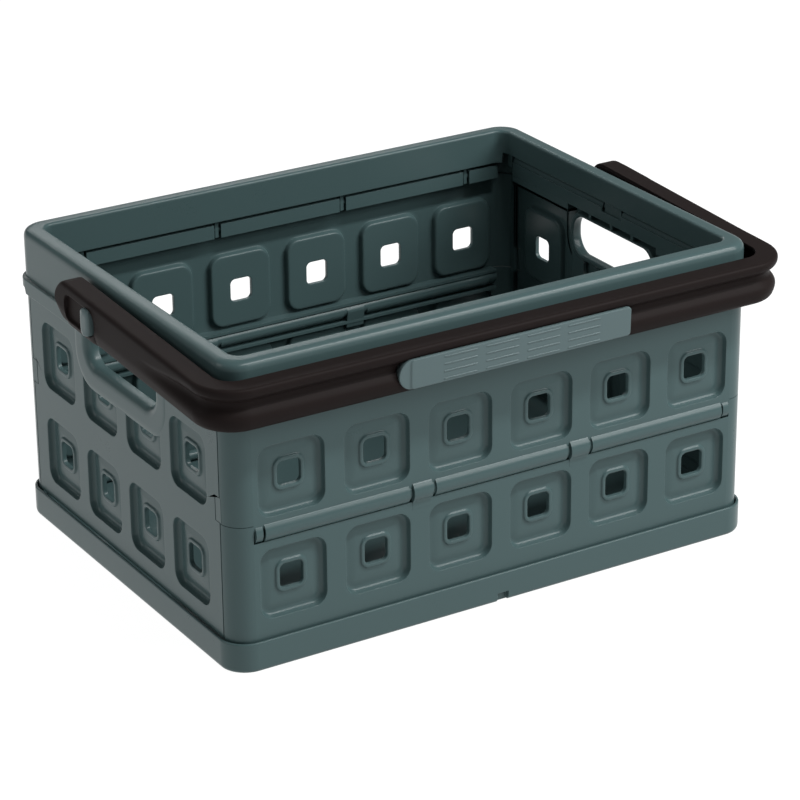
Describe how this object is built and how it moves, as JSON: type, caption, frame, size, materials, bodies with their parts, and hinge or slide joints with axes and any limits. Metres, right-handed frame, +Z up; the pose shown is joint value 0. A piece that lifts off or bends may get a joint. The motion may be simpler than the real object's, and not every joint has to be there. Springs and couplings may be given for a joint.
{
  "type": "collapsible storage crate",
  "caption": "Rectangular folding plastic crate with embossed, pierced walls, inward-swinging end panels with hand holes and a swinging carry handle.",
  "frame": {"origin": "centre of the tray's underside", "axes": "+X along the crate's long side, -Y towards the side the carry handle lies on, +Z up"},
  "size_m": [0.527, 0.3814, 0.252],
  "materials": {
    "crate_plastic": "grey-green moulded polypropylene, soft satin",
    "handle_plastic": "brown-black moulded plastic, satin",
    "pad_plastic": "lighter grey-green moulded plastic, satin"
  },
  "bodies": {
    "crate": {"base_tray": "crate_plastic", "front_lower_panel": "crate_plastic", "front_upper_panel": "crate_plastic", "back_lower_panel": "crate_plastic", "back_upper_panel": "crate_plastic", "top_frame": "crate_plastic", "left_pivot_stud": "pad_plastic", "right_pivot_stud": "pad_plastic"},
    "handle": {"bail_handle": "handle_plastic", "grip_pad": "pad_plastic"},
    "left_end": {"left_end_panel": "crate_plastic"},
    "right_end": {"right_end_panel": "crate_plastic"}
  },
  "joints": [
    {"name": "handle_swing", "type": "hinge", "parent": "crate", "child": "handle", "pos_m": [0, 0, 0.231], "axis": [-1, 0, 0], "range_deg": [0, 180]},
    {"name": "left_end_swing", "type": "hinge", "parent": "crate", "child": "left_end", "pos_m": [-0.2295, 0, 0.225], "axis": [0, -1, 0], "range_deg": [0, 90]},
    {"name": "right_end_swing", "type": "hinge", "parent": "crate", "child": "right_end", "pos_m": [0.2295, 0, 0.225], "axis": [0, 1, 0], "range_deg": [0, 90]}
  ]
}
